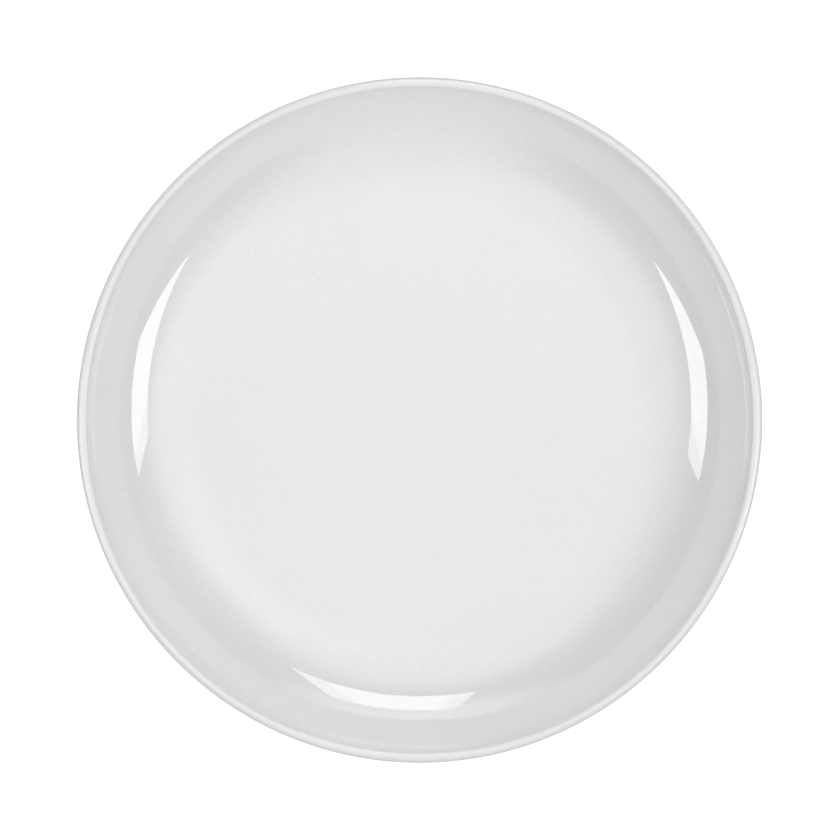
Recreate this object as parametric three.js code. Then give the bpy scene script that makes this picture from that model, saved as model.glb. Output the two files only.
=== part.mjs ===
// Deep coupe plate in white glazed porcelain, turned about one axis.
// Millimetres, +Z up. The origin is the centre of the foot ring, at the level of the table.

import * as THREE from "three";

// Overall
const PLATE_DIAMETER = 240;
const PLATE_HEIGHT = 35;

// Rim: a plain rolled edge, thick enough to survive stacking. Its crest is tighter than its outer flank.
const CREST_RADIUS = 1.4;
const FLANK_RADIUS = 3;
const FLANK_SLOPE = THREE.MathUtils.degToRad(35);

// Well: a flat floor, a cove round it, an easy wall, and a tighter shoulder that turns up to the rim
const FLOOR_THICKNESS = 5;
const COVE_SLOPE = THREE.MathUtils.degToRad(43.8);
const WALL_SLOPE = THREE.MathUtils.degToRad(50.6);
const WALL_RADIUS = 135;
const RIM_SLOPE = THREE.MathUtils.degToRad(75.5);
const SHOULDER_RADIUS = 13.5;

// Foot ring: a low ridge under the floor, ground flat where it meets the table
const FOOT_HEIGHT = 2.4;
const FOOT_BAND_WIDTH = 2.6;
const FOOT_EDGE_RADIUS = 0.8;
const FOOT_INSET = 10.5;

// Belly: the outer face, from the foot up to the rim
const BELLY_HEIGHT = 2.2;
const BELLY_SLOPE = THREE.MathUtils.degToRad(68);

// Steps round the plate and along each arc of its outline
const ROUND_STEPS = 72;
const BELLY_STEPS = 8;
const COVE_STEPS = 5;
const WALL_STEPS = 3;
const SHOULDER_STEPS = 3;
const RIM_STEPS = 3;
const FOOT_STEPS = 3;

const QUARTER_TURN = Math.PI / 2;

// The way from the centre of an arc of the outline to its point with this slope
function down(slope) {
  return new THREE.Vector2(Math.sin(slope), -Math.cos(slope));
}

// The well, worked out from the rim inwards: each arc runs into the next without a corner
const flankReach = Math.sin(FLANK_SLOPE) * (FLANK_RADIUS - CREST_RADIUS);
const flankDrop = Math.cos(FLANK_SLOPE) * (FLANK_RADIUS - CREST_RADIUS);
const flankX = PLATE_DIAMETER / 2 - FLANK_RADIUS;
const crestCentre = new THREE.Vector2(flankX + flankReach, PLATE_HEIGHT - CREST_RADIUS);
const flankCentre = new THREE.Vector2(flankX, crestCentre.y - flankDrop);
const rimInside = crestCentre.clone().addScaledVector(down(RIM_SLOPE), -CREST_RADIUS);
const rimOutside = flankCentre.clone().addScaledVector(down(BELLY_SLOPE), FLANK_RADIUS);
const shoulderCentre = rimInside.clone().addScaledVector(down(RIM_SLOPE), -SHOULDER_RADIUS);
const wallTop = shoulderCentre.clone().addScaledVector(down(WALL_SLOPE), SHOULDER_RADIUS);
const wallCentre = wallTop.clone().addScaledVector(down(WALL_SLOPE), -WALL_RADIUS);
const wallFoot = wallCentre.clone().addScaledVector(down(COVE_SLOPE), WALL_RADIUS);
const floorTop = FOOT_HEIGHT + FLOOR_THICKNESS;
const coveRadius = (wallFoot.y - floorTop) / (1 - Math.cos(COVE_SLOPE));
const coveCentre = wallFoot.clone().addScaledVector(down(COVE_SLOPE), -coveRadius);
const floorRadius = coveCentre.x;

// The foot ring stands inside the edge of the floor. Each flank is a rounded edge and a fillet.
const footRadius = floorRadius - FOOT_INSET;
const footInnerEdge = footRadius - FOOT_BAND_WIDTH / 2;
const footOuterEdge = footRadius + FOOT_BAND_WIDTH / 2;
const recessFillet = FOOT_HEIGHT - FOOT_EDGE_RADIUS;
const bellyFillet = BELLY_HEIGHT - FOOT_EDGE_RADIUS;
const recessEdge = footInnerEdge - FOOT_EDGE_RADIUS - recessFillet;
const bellyEdge = footOuterEdge + FOOT_EDGE_RADIUS + bellyFillet;

// Points on an arc, with angles counted from straight out, turning up
function arc(centre, radius, fromAngle, toAngle, steps) {
  const points = [];
  for (let step = 0; step <= steps; step += 1) {
    const angle = fromAngle + ((toAngle - fromAngle) * step) / steps;
    const reach = new THREE.Vector2(Math.cos(angle), Math.sin(angle)).multiplyScalar(radius);
    points.push(centre.clone().add(reach));
  }
  return points;
}

// The underside from its centre to the foot, and across the ground band that touches the table
function footOutline() {
  const recessCorner = new THREE.Vector2(recessEdge, FOOT_EDGE_RADIUS);
  const innerCorner = new THREE.Vector2(footInnerEdge, FOOT_EDGE_RADIUS);
  const outerCorner = new THREE.Vector2(footOuterEdge, FOOT_EDGE_RADIUS);
  const bellyCorner = new THREE.Vector2(bellyEdge, FOOT_EDGE_RADIUS);
  return [
    new THREE.Vector2(0, FOOT_HEIGHT),
    ...arc(recessCorner, recessFillet, QUARTER_TURN, 0, FOOT_STEPS),
    ...arc(innerCorner, FOOT_EDGE_RADIUS, -2 * QUARTER_TURN, -QUARTER_TURN, FOOT_STEPS).slice(1),
    ...arc(outerCorner, FOOT_EDGE_RADIUS, -QUARTER_TURN, 0, FOOT_STEPS),
    ...arc(bellyCorner, bellyFillet, 2 * QUARTER_TURN, QUARTER_TURN, FOOT_STEPS).slice(1),
  ];
}

// The belly: one arc that leaves the foot and runs into the rim
function bellyOutline() {
  const start = new THREE.Vector2(bellyEdge, BELLY_HEIGHT);
  const chord = rimOutside.clone().sub(start);
  const chordAngle = Math.atan2(chord.y, chord.x);
  const halfTurn = BELLY_SLOPE - chordAngle;
  const bellyRadius = chord.length() / 2 / Math.sin(halfTurn);
  const bellyCentre = rimOutside.clone().addScaledVector(down(BELLY_SLOPE), -bellyRadius);
  const rimAngle = BELLY_SLOPE - QUARTER_TURN;
  return arc(bellyCentre, bellyRadius, rimAngle - 2 * halfTurn, rimAngle, BELLY_STEPS).slice(1);
}

// The rolled rim, from the outer face past its widest and its highest point to the inner face
function rimOutline() {
  const flankTop = QUARTER_TURN - FLANK_SLOPE;
  return [
    ...arc(flankCentre, FLANK_RADIUS, BELLY_SLOPE - QUARTER_TURN, 0, RIM_STEPS).slice(1),
    ...arc(flankCentre, FLANK_RADIUS, 0, flankTop, RIM_STEPS).slice(1),
    ...arc(crestCentre, CREST_RADIUS, flankTop, QUARTER_TURN, RIM_STEPS).slice(1),
    ...arc(crestCentre, CREST_RADIUS, QUARTER_TURN, RIM_SLOPE + QUARTER_TURN, RIM_STEPS).slice(1),
  ];
}

// The well: down the shoulder and the wall, round the cove and across the floor to the axis
function wellOutline() {
  const [rim, wall, cove] = [RIM_SLOPE, WALL_SLOPE, COVE_SLOPE].map((slope) => slope - QUARTER_TURN);
  return [
    ...arc(shoulderCentre, SHOULDER_RADIUS, rim, wall, SHOULDER_STEPS).slice(1),
    ...arc(wallCentre, WALL_RADIUS, wall, cove, WALL_STEPS).slice(1),
    ...arc(coveCentre, coveRadius, cove, -QUARTER_TURN, COVE_STEPS).slice(1),
    new THREE.Vector2(0, floorTop),
  ];
}

// White porcelain under a clear gloss glaze
const glazedPorcelain = new THREE.MeshStandardMaterial({
  color: "#f2f2f0",
  roughness: 0.12,
  metalness: 0,
});

// The plate is fired from one piece of clay, so its body is a single turned solid
function plateBody() {
  const outline = [...footOutline(), ...bellyOutline(), ...rimOutline(), ...wellOutline()];
  const geometry = new THREE.LatheGeometry(outline, ROUND_STEPS);
  geometry.rotateX(QUARTER_TURN);
  const mesh = new THREE.Mesh(geometry, glazedPorcelain);
  mesh.name = "plate_body";
  return mesh;
}

const deepPlate = new THREE.Group();
deepPlate.add(plateBody());

export default deepPlate;
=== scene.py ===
from math import atan2, cos, pi, radians, sin

import bpy
from mathutils import Euler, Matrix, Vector


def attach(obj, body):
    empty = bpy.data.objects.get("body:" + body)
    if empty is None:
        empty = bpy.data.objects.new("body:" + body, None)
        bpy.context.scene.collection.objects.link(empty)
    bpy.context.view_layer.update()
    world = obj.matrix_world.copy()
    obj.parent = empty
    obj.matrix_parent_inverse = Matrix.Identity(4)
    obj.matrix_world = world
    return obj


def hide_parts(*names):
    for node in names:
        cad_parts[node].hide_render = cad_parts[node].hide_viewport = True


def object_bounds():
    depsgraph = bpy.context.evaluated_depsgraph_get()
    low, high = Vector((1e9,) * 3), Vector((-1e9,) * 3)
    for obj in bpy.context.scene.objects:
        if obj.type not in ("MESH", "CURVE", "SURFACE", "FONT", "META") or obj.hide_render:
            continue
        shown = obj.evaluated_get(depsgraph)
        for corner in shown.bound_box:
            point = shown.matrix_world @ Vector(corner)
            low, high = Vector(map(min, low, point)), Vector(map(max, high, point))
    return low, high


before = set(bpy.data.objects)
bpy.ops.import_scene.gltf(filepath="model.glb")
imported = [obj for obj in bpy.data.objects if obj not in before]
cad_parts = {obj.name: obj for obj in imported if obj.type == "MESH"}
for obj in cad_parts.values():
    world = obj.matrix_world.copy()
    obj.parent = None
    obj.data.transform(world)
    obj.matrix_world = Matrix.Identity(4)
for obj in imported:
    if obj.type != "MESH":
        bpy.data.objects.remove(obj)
cad_low, cad_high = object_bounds()

# The body of the plate
# A roller presses one slab of porcelain clay into a spinning plaster mould, so the whole body follows one
# outline: recess, ground foot, belly, rolled rim, shoulder, wall, cove and flat floor.

plate_radius = cad_high.x
plate_height = cad_high.z
crest_radius = 0.0014
flank_radius = 0.003
flank_slope = radians(35)
floor_thickness = 0.005
cove_slope = radians(43.8)
wall_slope = radians(50.6)
wall_radius = 0.135
rim_slope = radians(75.5)
shoulder_radius = 0.0135
foot_height = 0.0024
foot_band_width = 0.0026
foot_edge_radius = 0.0008
foot_inset = 0.0105
belly_height = 0.0022
belly_slope = radians(68)
round_steps = 384
same_point = 0.000001


def down(slope, radius):
    """The way across and up from the centre of an arc of the outline to its point with this slope."""
    return Vector((radius * sin(slope), -radius * cos(slope)))


floor_top = foot_height + floor_thickness
flank_x = plate_radius - flank_radius
flank_reach = sin(flank_slope) * (flank_radius - crest_radius)
flank_drop = cos(flank_slope) * (flank_radius - crest_radius)
crest_centre = Vector((flank_x, plate_height - crest_radius))
crest_centre.x += flank_reach
flank_centre = Vector((flank_x, crest_centre.y - flank_drop))
rim_inside = crest_centre - down(rim_slope, crest_radius)
rim_outside = flank_centre + down(belly_slope, flank_radius)
shoulder_centre = rim_inside - down(rim_slope, shoulder_radius)
wall_centre = shoulder_centre + down(wall_slope, shoulder_radius) - down(wall_slope, wall_radius)
wall_foot = wall_centre + down(cove_slope, wall_radius)
cove_radius = (wall_foot.y - floor_top) / (1 - cos(cove_slope))
cove_centre = wall_foot - down(cove_slope, cove_radius)
foot_radius = cove_centre.x - foot_inset
foot_inner_edge = foot_radius - foot_band_width / 2
foot_outer_edge = foot_radius + foot_band_width / 2
recess_edge = foot_inner_edge - foot_edge_radius - (foot_height - foot_edge_radius)
belly_edge = foot_outer_edge + foot_edge_radius + (belly_height - foot_edge_radius)
belly_chord = rim_outside - Vector((belly_edge, belly_height))
belly_turn = 2 * (belly_slope - atan2(belly_chord.y, belly_chord.x))
belly_centre = rim_outside - down(belly_slope, belly_chord.length / 2 / sin(belly_turn / 2))


def draw_straight(across, steps):
    """Pulls the last point of the outline across, in equal steps."""
    for _ in range(steps):
        bpy.ops.mesh.extrude_vertices_move(TRANSFORM_OT_translate={"value": (across / steps, 0, 0)})


def draw_arc(centre, turn, steps):
    """Swings the last point of the outline about a centre, anticlockwise for a positive turn."""
    bpy.ops.mesh.spin(steps=steps, angle=turn, center=(centre[0], 0, centre[1]), axis=(0, 1, 0))


def ripple(vertices, grain, height):
    """Raises and lowers these points of the mesh by a soft random pattern with this grain and height."""
    plate.vertex_groups.clear()
    plate.vertex_groups.new(name="rippled").add(vertices, 1, "REPLACE")
    pattern = bpy.data.textures.new("ripple", "CLOUDS")
    pattern.noise_scale = grain
    pattern.noise_depth = 0
    bpy.ops.object.modifier_add(type="DISPLACE")
    swell = plate.modifiers[-1]
    swell.texture = pattern
    swell.texture_coords = "LOCAL"
    swell.vertex_group = "rippled"
    swell.strength = height
    bpy.ops.object.modifier_apply(modifier=swell.name)


bpy.ops.object.select_all(action="DESELECT")
bpy.ops.mesh.primitive_plane_add(size=foot_height, location=(0, 0, foot_height))
plate = bpy.context.object
plate.name = "glazed_plate"
bpy.ops.object.mode_set(mode="EDIT")
bpy.ops.mesh.select_all(action="SELECT")
bpy.ops.mesh.merge(type="CENTER")
draw_straight(recess_edge, 14)
draw_arc((recess_edge, foot_edge_radius), -pi / 2, 5)
draw_arc((foot_inner_edge, foot_edge_radius), pi / 2, 5)
draw_straight(foot_band_width, 3)
draw_arc((foot_outer_edge, foot_edge_radius), pi / 2, 5)
draw_arc((belly_edge, foot_edge_radius), -pi / 2, 5)
draw_arc(belly_centre, belly_turn, 46)
draw_arc(flank_centre, pi - belly_slope - flank_slope, 18)
draw_arc(crest_centre, flank_slope + rim_slope, 18)
draw_arc(shoulder_centre, wall_slope - rim_slope, 16)
draw_arc(wall_centre, cove_slope - wall_slope, 60)
draw_arc(cove_centre, -cove_slope, 34)
draw_straight(-cove_centre.x, 20)
bpy.ops.object.mode_set(mode="OBJECT")
bpy.ops.object.transform_apply(location=True, rotation=True, scale=True)

# The roller leaves faint rings on the wall. They are pressed into the outline before it is turned into the
# plate.
ring_spacing = 0.0012
ring_height = 0.000003
wall_end = shoulder_centre.x + shoulder_radius * sin(wall_slope)

roller_rings = [
    point.index
    for point in plate.data.vertices
    if wall_foot.x < point.co.x < wall_end and point.co.z > wall_foot.y
]
ripple(roller_rings, ring_spacing, ring_height)
bpy.ops.object.mode_set(mode="EDIT")
bpy.ops.mesh.select_all(action="SELECT")
bpy.ops.mesh.spin(steps=round_steps, angle=2 * pi, center=(0, 0, 0), axis=(0, 0, 1))
bpy.ops.mesh.select_all(action="SELECT")
bpy.ops.mesh.remove_doubles(threshold=same_point)
bpy.ops.mesh.normals_make_consistent(inside=False)
bpy.ops.object.mode_set(mode="OBJECT")

# The glaze is poured over the body and sets with a faint ripple of its own: fine grains on long swells.
glaze_grain = 0.006
glaze_grain_height = 0.000005
glaze_swell = 0.03
glaze_swell_height = 0.000025

glazed_skin = [
    point.index
    for point in plate.data.vertices
    if point.co.z > belly_height and point.co.xy.length < rim_inside.x
]
ripple(glazed_skin, glaze_grain, glaze_grain_height)
ripple(glazed_skin, glaze_swell, glaze_swell_height)
plate.vertex_groups.clear()
bpy.ops.object.shade_smooth()
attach(plate, "root")
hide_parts("plate_body")


def add_node(finish, kind, inputs=None, **settings):
    """Adds a node to a finish, sets it up, and joins or fills its inputs."""
    node = finish.node_tree.nodes.new("ShaderNode" + kind)
    for name, value in settings.items():
        setattr(node, name, value)
    for name, value in (inputs or {}).items():
        if isinstance(value, bpy.types.NodeSocket):
            finish.node_tree.links.new(value, node.inputs[name])
        else:
            node.inputs[name].default_value = value
    return node


def add_grain(finish, place, size, detail=0):
    """A soft random pattern with patches of about this size, in metres."""
    grain = add_node(finish, "TexNoise", {"Vector": place, "Scale": 1 / size, "Detail": detail})
    return grain.outputs["Fac"]


def grade(finish, value, before, after):
    """Carries a value from one range to another, and holds it at the ends."""
    ends = {"From Min": before[0], "From Max": before[1], "To Min": after[0], "To Max": after[1]}
    return add_node(finish, "MapRange", {"Value": value, **ends}).outputs["Result"]


def measure_gap(finish, place, spot):
    """The distance of a place in the outline from a spot in it."""
    return add_node(finish, "VectorMath", {0: place, 1: (*spot, 0)}, operation="DISTANCE").outputs["Value"]


def blend_colours(finish, share, first, second):
    """Goes from the first colour to the second as the share goes from 0 to 1."""
    mix = add_node(finish, "Mix", data_type="RGBA")
    for socket, value in zip((mix.inputs[0], mix.inputs[6], mix.inputs[7]), (share, first, second)):
        if isinstance(value, bpy.types.NodeSocket):
            finish.node_tree.links.new(value, socket)
        else:
            socket.default_value = value
    return mix.outputs[2]


# The glaze is clear and glassy. It is thinner over the rim, where the body shows warmer through it. That rim
# colour is also painted lighter and reaches down over the shoulder, a painted highlight that brightens the
# rim and the band below it. It pools in the corners beside the foot, where it looks cooler. The foot itself
# is wiped bare and ground smooth.
thin_glaze = (0.865, 0.864, 0.861, 1)
thick_glaze = (0.850, 0.852, 0.852, 1)
pooled_glaze = (0.800, 0.815, 0.815, 1)
# Lighter than the rest of the glaze: partly the warmer thin glaze over the rim, partly a painted highlight.
rim_glaze_with_painted_light = (0.888, 0.885, 0.877, 1)
bare_porcelain = (0.700, 0.685, 0.650, 1)
worn_porcelain = (0.560, 0.545, 0.515, 1)
ground_roughness = 0.55
glaze_roughness = (0.03, 0.045)
glaze_ior = 1.62
cloud_width = 0.028
pool_reach = (0.0006, 0.0035)
rim_fade = (crest_radius, 3.5 * crest_radius)
rim_share = 0.8
speck_width = 0.0005
speck_tones = (0.965, 1.035)
glaze_edge = (0.00055, 0.0007)
waver_width = 0.004
waver_height = 0.0005
scuff_width = 0.0022
scuff_share = 0.8
polish_width = 0.009
peel_width = 0.0017
peel_height = 0.000001
grit_width = 0.0003
grit_height = 0.00003

glaze = bpy.data.materials.new("white glaze over porcelain")
glaze.use_nodes = True
place = add_node(glaze, "TexCoord").outputs["Object"]
axes = add_node(glaze, "SeparateXYZ", {"Vector": place}).outputs
level = axes["Z"]
flat_place = add_node(glaze, "VectorMath", {0: place, 1: (1, 1, 0)}, operation="MULTIPLY").outputs["Vector"]
reach = add_node(glaze, "VectorMath", {0: flat_place}, operation="LENGTH").outputs["Value"]
in_outline = add_node(glaze, "CombineXYZ", {"X": reach, "Y": level}).outputs["Vector"]

cloudiness = grade(glaze, add_grain(glaze, place, cloud_width, 2), (0.3, 0.7), (0, 1))
skin_colour = blend_colours(glaze, cloudiness, thin_glaze, thick_glaze)
for corner in ((belly_edge, belly_height), (recess_edge, foot_height)):
    pooling = grade(glaze, measure_gap(glaze, in_outline, corner), pool_reach, (1, 0))
    skin_colour = blend_colours(glaze, pooling, skin_colour, pooled_glaze)
# Painted highlight: the rim and the shoulder below it get the lighter rim colour, beside the real warmth of
# the thin glaze there.
rim_warmth_and_painted_light = grade(glaze, measure_gap(glaze, in_outline, crest_centre), rim_fade, (rim_share, 0))
skin_colour = blend_colours(glaze, rim_warmth_and_painted_light, skin_colour, rim_glaze_with_painted_light)
speckle = grade(glaze, add_grain(glaze, place, speck_width), (0.25, 0.75), speck_tones)
specked = add_node(glaze, "VectorMath", {0: skin_colour, "Scale": speckle}, operation="SCALE")
skin_colour = specked.outputs["Vector"]

waver = add_grain(glaze, place, waver_width, 2)
glaze_line = add_node(glaze, "Math", {0: waver, 1: waver_height}, operation="MULTIPLY").outputs[0]
ragged_level = add_node(glaze, "Math", {0: level, 1: glaze_line}, operation="ADD").outputs[0]
bareness = grade(glaze, ragged_level, glaze_edge, (1, 0))
scuffs = grade(glaze, add_grain(glaze, place, scuff_width, 3), (0.52, 0.68), (0, scuff_share))
bare_colour = blend_colours(glaze, scuffs, bare_porcelain, worn_porcelain)
polish = grade(glaze, add_grain(glaze, place, polish_width, 3), (0.3, 0.7), glaze_roughness)

peel = add_grain(glaze, place, peel_width)
soft_peel = add_node(glaze, "Bump", {"Height": peel, "Distance": peel_height}).outputs["Normal"]
sand = add_grain(glaze, place, grit_width, 2)
grit = add_node(
    glaze, "Bump", {"Height": sand, "Strength": bareness, "Distance": grit_height, "Normal": soft_peel}
).outputs["Normal"]

shader = glaze.node_tree.nodes["Principled BSDF"]
join = glaze.node_tree.links.new
join(blend_colours(glaze, bareness, skin_colour, bare_colour), shader.inputs["Base Color"])
rough_ground = (ground_roughness, ground_roughness, ground_roughness, 1)
join(blend_colours(glaze, bareness, polish, rough_ground), shader.inputs["Roughness"])
join(grit, shader.inputs["Normal"])
shader.inputs["IOR"].default_value = glaze_ior
plate.data.materials.append(glaze)

# The table
# A plain pale table top, painted matt. It shows as bare white to the camera and keeps the shadow of the
# plate. Clear of the plate it shows pale in reflections too.

table_width = 6
table_tone = 0.45
table_roughness = 0.9
white_lift = 0.75
near_plate = 0.15
clear_of_it = 0.4

bpy.ops.mesh.primitive_plane_add(size=table_width, location=(0, 0, 0))
table = bpy.context.object
table.name = "table"
table_paint = bpy.data.materials.new("matt white paint")
table_paint.use_nodes = True
ray_kind = add_node(table_paint, "LightPath").outputs
mirrored = add_node(
    table_paint, "Math", {0: ray_kind["Is Glossy Ray"], 1: ray_kind["Is Transmission Ray"]}, operation="ADD"
).outputs[0]
spot_on_table = add_node(table_paint, "TexCoord").outputs["Object"]
from_plate = add_node(table_paint, "VectorMath", {0: spot_on_table}, operation="LENGTH").outputs["Value"]
clear_of_plate = grade(table_paint, from_plate, (near_plate, clear_of_it), (0, 1))
mirrored = add_node(table_paint, "Math", {0: mirrored, 1: clear_of_plate}, operation="MULTIPLY").outputs[0]
in_view = ray_kind["Is Camera Ray"]
seen = add_node(table_paint, "Math", {0: in_view, 1: mirrored}, operation="ADD").outputs[0]
background_lift = add_node(table_paint, "Math", {0: seen, 1: white_lift}, operation="MULTIPLY").outputs[0]
paint = table_paint.node_tree.nodes["Principled BSDF"]
paint.inputs["Base Color"].default_value = (table_tone, table_tone, table_tone, 1)
paint.inputs["Roughness"].default_value = table_roughness
paint.inputs["Emission Color"].default_value = (1, 1, 1, 1)
table_paint.node_tree.links.new(background_lift, paint.inputs["Emission Strength"])
table.data.materials.append(table_paint)

# The lamps
# Three soft boxes hang over the table, one at each side of the plate and one behind it, facing down. Behind
# the front cloth of each is a lining that shows in the glaze, with a brighter middle short of the ends.

middle_lift = 0.002
lining_lift = 0.004
dim_share = 0.27

# Side, place, turn in degrees, width and height, power, glow of the middle against that of the front, and the
# stretch of the width that the middle takes up
soft_boxes = (
    ("right", (1.260, -0.236, 0.423), (16.1, -9.1, 108.0), (0.865, 0.759), 3.00, 2.3, (-0.50, 0.38)),
    ("left", (-1.206, -0.155, 0.423), (-12.2, -13.7, 75.7), (0.780, 0.816), 3.58, 1.95, (-0.50, 0.37)),
    ("back", (0.156, 1.329, 0.423), (26.4, 0.8, 180.5), (0.742, 0.704), 1.91, 3.1, (-0.28, 0.38)),
)


def hang_cloth(name, place_of_box, turn, size, lift, stretch, glow):
    """Hangs a glowing cloth behind the front of a soft box. Only glossy surfaces show it."""
    start, end = stretch
    spot = Vector(place_of_box) + turn.to_matrix() @ Vector((size[0] * (start + end) / 2, 0, lift))
    bpy.ops.mesh.primitive_plane_add(size=1, location=spot, rotation=turn)
    cloth = bpy.context.object
    cloth.name = name
    cloth.scale = (size[0] * (end - start), size[1], 1)
    bpy.ops.object.transform_apply(location=True, rotation=True, scale=True)
    weave = bpy.data.materials.new(name)
    weave.use_nodes = True
    weave.node_tree.nodes.remove(weave.node_tree.nodes["Principled BSDF"])
    shine = add_node(weave, "Emission", {"Strength": glow}).outputs["Emission"]
    weave.node_tree.links.new(shine, weave.node_tree.nodes["Material Output"].inputs["Surface"])
    weave.cycles.emission_sampling = "NONE"
    cloth.data.materials.append(weave)
    for sight in ("camera", "diffuse", "transmission", "volume_scatter", "shadow"):
        setattr(cloth, "visible_" + sight, False)


for side, place_of_box, turn, size, power, shine, middle in soft_boxes:
    box_name = side + " soft box"
    turn = Euler([radians(angle) for angle in turn])
    bpy.ops.object.light_add(type="AREA", location=place_of_box, rotation=turn)
    front = bpy.context.object
    front.name = box_name
    front.data.shape = "RECTANGLE"
    front.data.size, front.data.size_y = size
    front.data.energy = power
    front.visible_camera = False
    front_glow = power / (pi * size[0] * size[1])
    middle_glow = front_glow * shine
    lining_glow = front_glow * (shine - dim_share * (1 + shine))
    hang_cloth(box_name + " middle", place_of_box, turn, size, middle_lift, middle, middle_glow)
    hang_cloth(box_name + " lining", place_of_box, turn, size, lining_lift, (-0.5, 0.5), lining_glow)

# The surroundings
# A dark room with a dim ceiling and pale stretches of ceiling and wall. Each row is the heading and height of
# the middle of one, in degrees, and how bright it is.

pale_stretches = (
    (0, 62, 0.89),
    (90, 62, 0.82),
    (225, 62, 0.55),
    (270, 15, 0.90),
    (315, 40, 0.39),
    (90, -8, 2.2),
)
stretch_reach = radians(35)
ceiling_foot = radians(25)
ceiling_top = radians(50)
ceiling_glow = 0.58

room = bpy.data.worlds.new("room")
bpy.context.scene.world = room
room.use_nodes = True
outlook = add_node(room, "TexCoord").outputs["Generated"]
outlook_height = add_node(room, "SeparateXYZ", {"Vector": outlook}).outputs["Z"]
brightness = grade(room, outlook_height, (sin(ceiling_foot), sin(ceiling_top)), (0, ceiling_glow))
for heading, height, glow in pale_stretches:
    middle = Vector((cos(radians(heading)), sin(radians(heading)), 0)) * cos(radians(height))
    middle.z = sin(radians(height))
    facing = add_node(room, "VectorMath", {0: outlook, 1: middle}, operation="DOT_PRODUCT")
    nearness = {"Value": facing.outputs["Value"], "From Min": cos(stretch_reach), "From Max": 1}
    patch = add_node(
        room, "MapRange", {**nearness, "To Max": glow}, interpolation_type="SMOOTHSTEP"
    ).outputs["Result"]
    brightness = add_node(room, "Math", {0: brightness, 1: patch}, operation="ADD").outputs[0]
room.node_tree.links.new(brightness, room.node_tree.nodes["Background"].inputs["Strength"])
room.node_tree.nodes["Background"].inputs["Color"].default_value = (1, 1, 1, 1)

# The camera
# It looks straight down on the middle of the plate.

camera_height = 1.183
camera_lens = 140.8
film_width = 36
aim = (0.00015, 0.00001)
bpy.ops.object.camera_add(location=(*aim, camera_height), rotation=(0, 0, 0))
camera = bpy.context.object
camera.name = "camera"
camera.data.sensor_width = film_width
camera.data.lens = camera_lens
bpy.context.scene.camera = camera

bpy.context.scene.view_settings.view_transform = "Standard"
